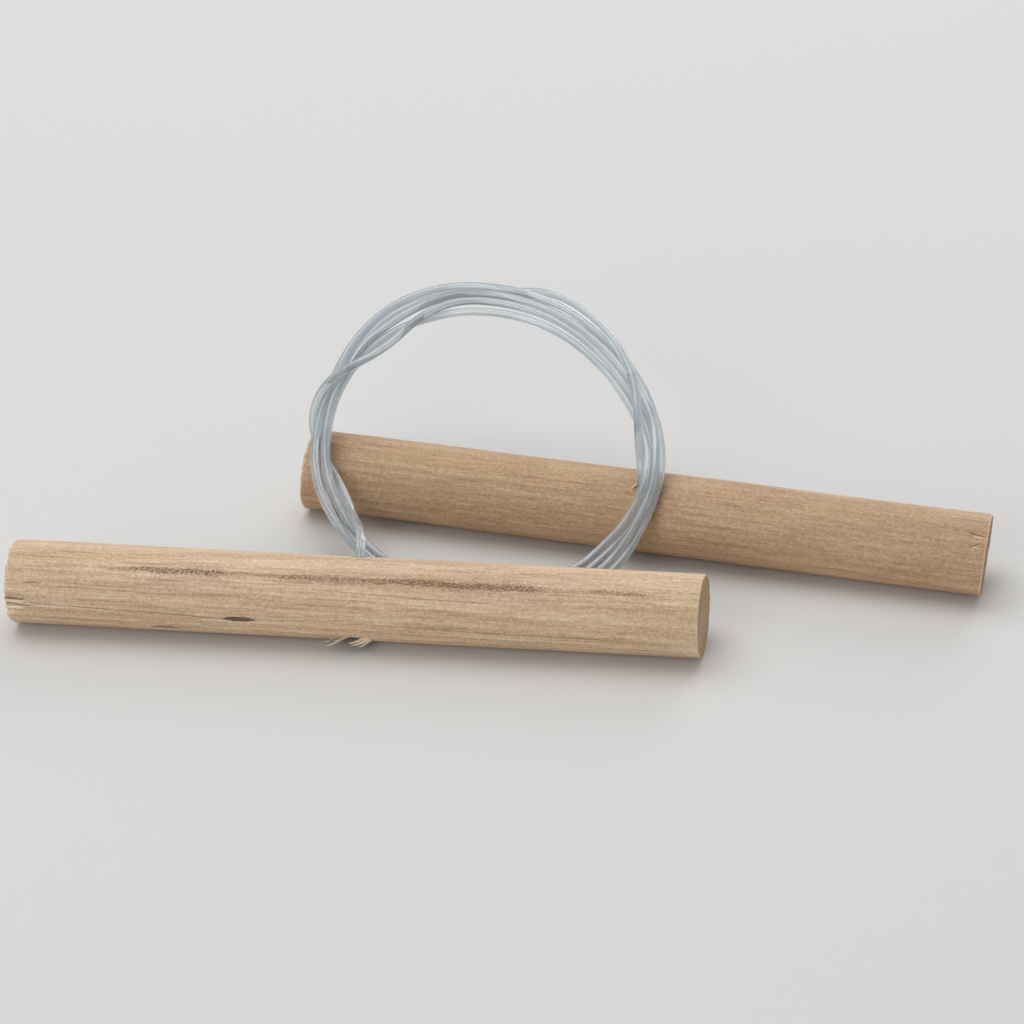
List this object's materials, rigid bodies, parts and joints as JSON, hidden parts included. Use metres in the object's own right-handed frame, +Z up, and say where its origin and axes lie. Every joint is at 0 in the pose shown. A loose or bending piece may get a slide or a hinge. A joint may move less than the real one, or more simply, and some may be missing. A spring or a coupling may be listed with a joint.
{
  "type": "clay cutter",
  "caption": "Clay cutter: a stiff nylon line, coiled up for storage, knotted through the middle of a wooden dowel handle at each end, with each handle free to swivel on it.",
  "frame": {"origin": "on the ground, under the middle of the box round the two handles, which both lie on the ground", "axes": "+X along the front handle towards its right end, +Y from the front handle to the rear handle, +Z up"},
  "size_m": [0.1392, 0.0566, 0.031],
  "materials": {
    "front_wood": "bare sanded pale wood with a dark streak along the grain",
    "rear_wood": "bare sanded wood with a fine even grain",
    "nylon": "milky translucent monofilament"
  },
  "bodies": {
    "line": {"line_coil": "nylon", "front_lead": "nylon", "rear_lead": "nylon", "front_knot": "nylon", "rear_knot": "nylon"},
    "front_grip_body": {"front_handle": "front_wood"},
    "rear_grip_body": {"rear_handle": "rear_wood"}
  },
  "joints": [
    {"name": "front_handle_swivel", "type": "hinge", "parent": "line", "child": "front_grip_body", "pos_m": [-0.01986, -0.0172, 0.006], "axis": [0, 0.5, 0.866], "range_deg": [-35, 0]},
    {"name": "rear_handle_swivel", "type": "hinge", "parent": "line", "child": "rear_grip_body", "pos_m": [0.01944, 0.00983, 0.006], "axis": [-0.08, -0.5483, 0.8324], "range_deg": [-75, 75]}
  ]
}
